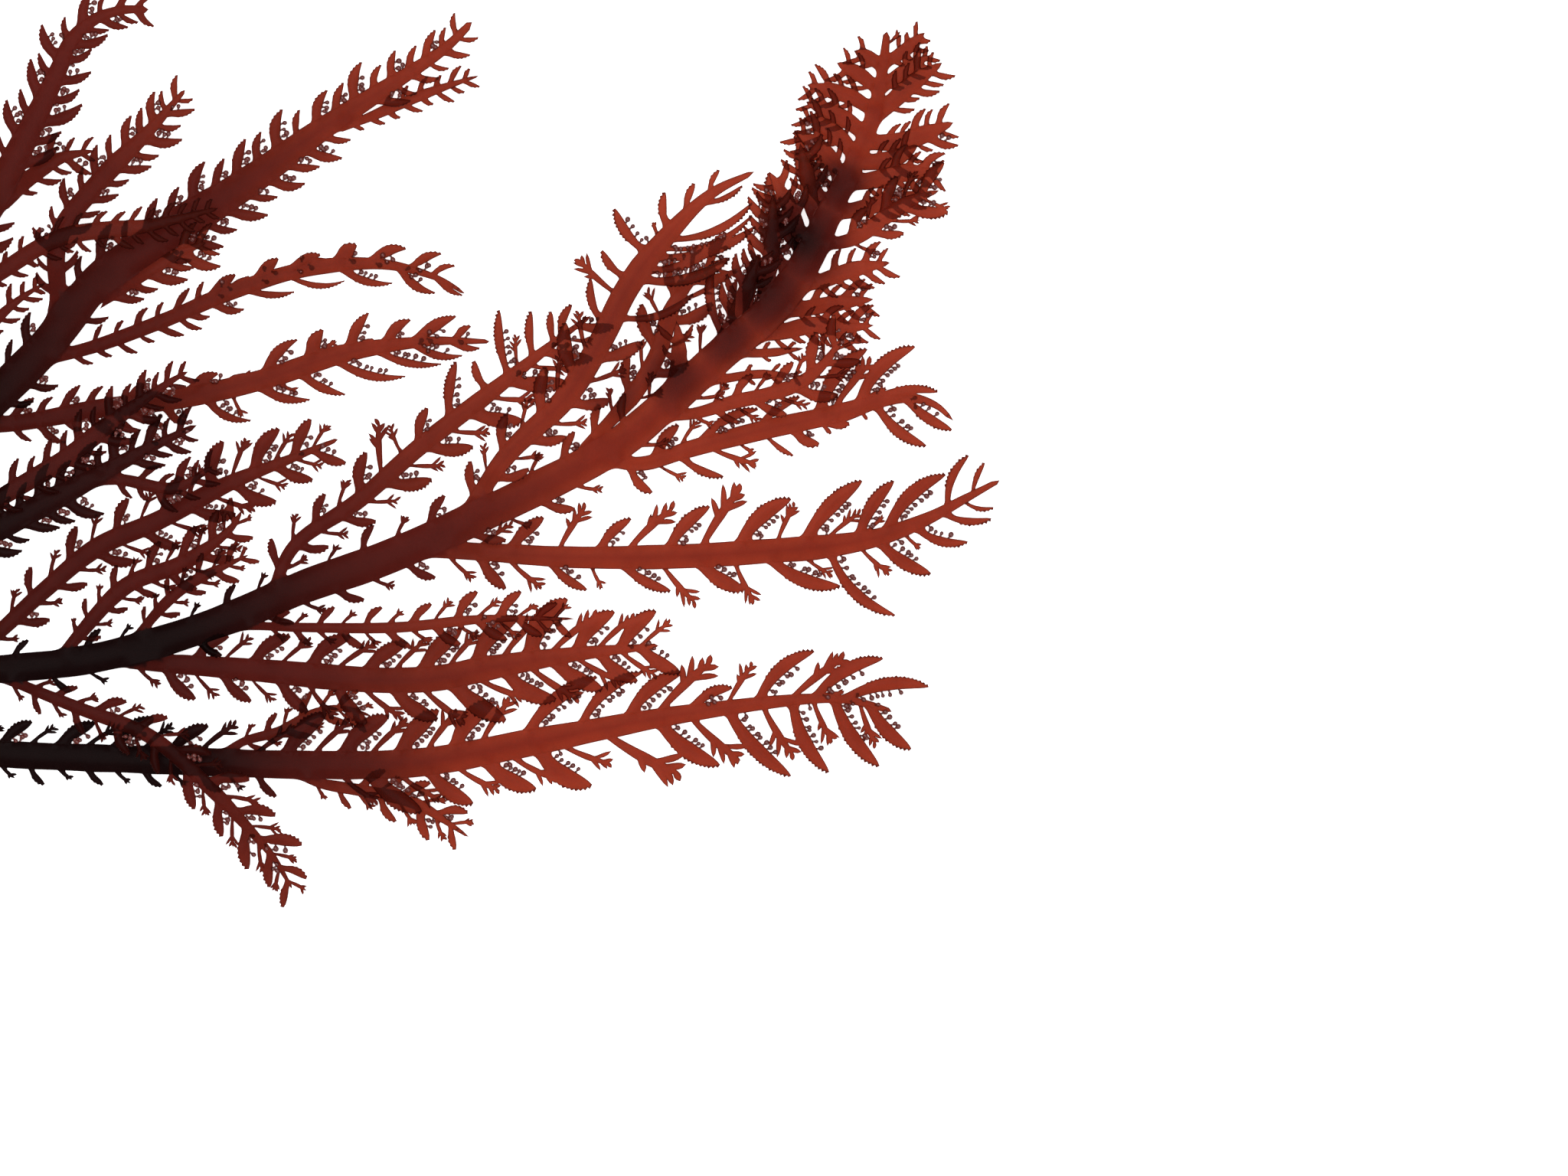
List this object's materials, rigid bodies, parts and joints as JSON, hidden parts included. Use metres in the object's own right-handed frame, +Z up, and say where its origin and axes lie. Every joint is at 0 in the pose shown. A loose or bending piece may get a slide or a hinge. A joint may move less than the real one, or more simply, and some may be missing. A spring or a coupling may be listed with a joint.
{
  "type": "ptilota asplenioides",
  "caption": "Cut spray of a brick-red feathery seaweed lying flat: ribbed main axes with sickle-shaped leaflets and small forked branchlets growing from one dark old stem.",
  "frame": {"origin": "on the flat underside of the old stem, where the spray rests on the surface", "axes": "+X from the cut stem towards the frond tips, +Y towards the crest frond's side, +Z up from the surface that it lies on"},
  "size_m": [0.1148, 0.0727, 0.0049],
  "materials": {
    "frond_red": "moist translucent brick red blade, darker where it is thick or overlaps",
    "stem_maroon": "tough old axis, nearly black maroon, dull wet sheen"
  },
  "bodies": {
    "root": {"old_stem": "stem_maroon", "lower_frond": "frond_red", "central_frond": "frond_red", "middle_frond": "frond_red", "upper_frond": "frond_red", "crest_frond": "frond_red"}
  },
  "joints": []
}
